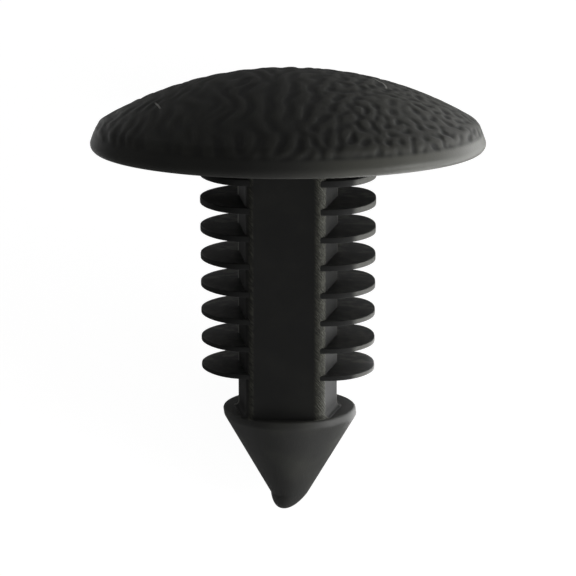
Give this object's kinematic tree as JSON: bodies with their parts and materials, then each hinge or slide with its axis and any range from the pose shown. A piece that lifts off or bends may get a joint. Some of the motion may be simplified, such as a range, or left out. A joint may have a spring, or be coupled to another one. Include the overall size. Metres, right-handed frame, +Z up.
{
  "type": "push-in trim retainer",
  "caption": "Black nylon push-in trim retainer: a domed, grained head on a solid bar with thin barbs down both sides and a cone point.",
  "frame": {"origin": "on the surface the retainer lies on, below the middle of its outline", "axes": "+Z up; +Y along the floor from the cone point to the domed head; +X to the right seen from the point's end. The stem's own axis rises towards the head at about 25 degrees, because the retainer rests on the rim of its head and the rim of its cone."},
  "size_m": [0.02, 0.0228, 0.0182],
  "materials": {
    "black_nylon": "moulded black nylon, leather grain on the dome and a fine satin elsewhere"
  },
  "bodies": {
    "root": {"trim_retainer": "black_nylon"}
  },
  "joints": []
}
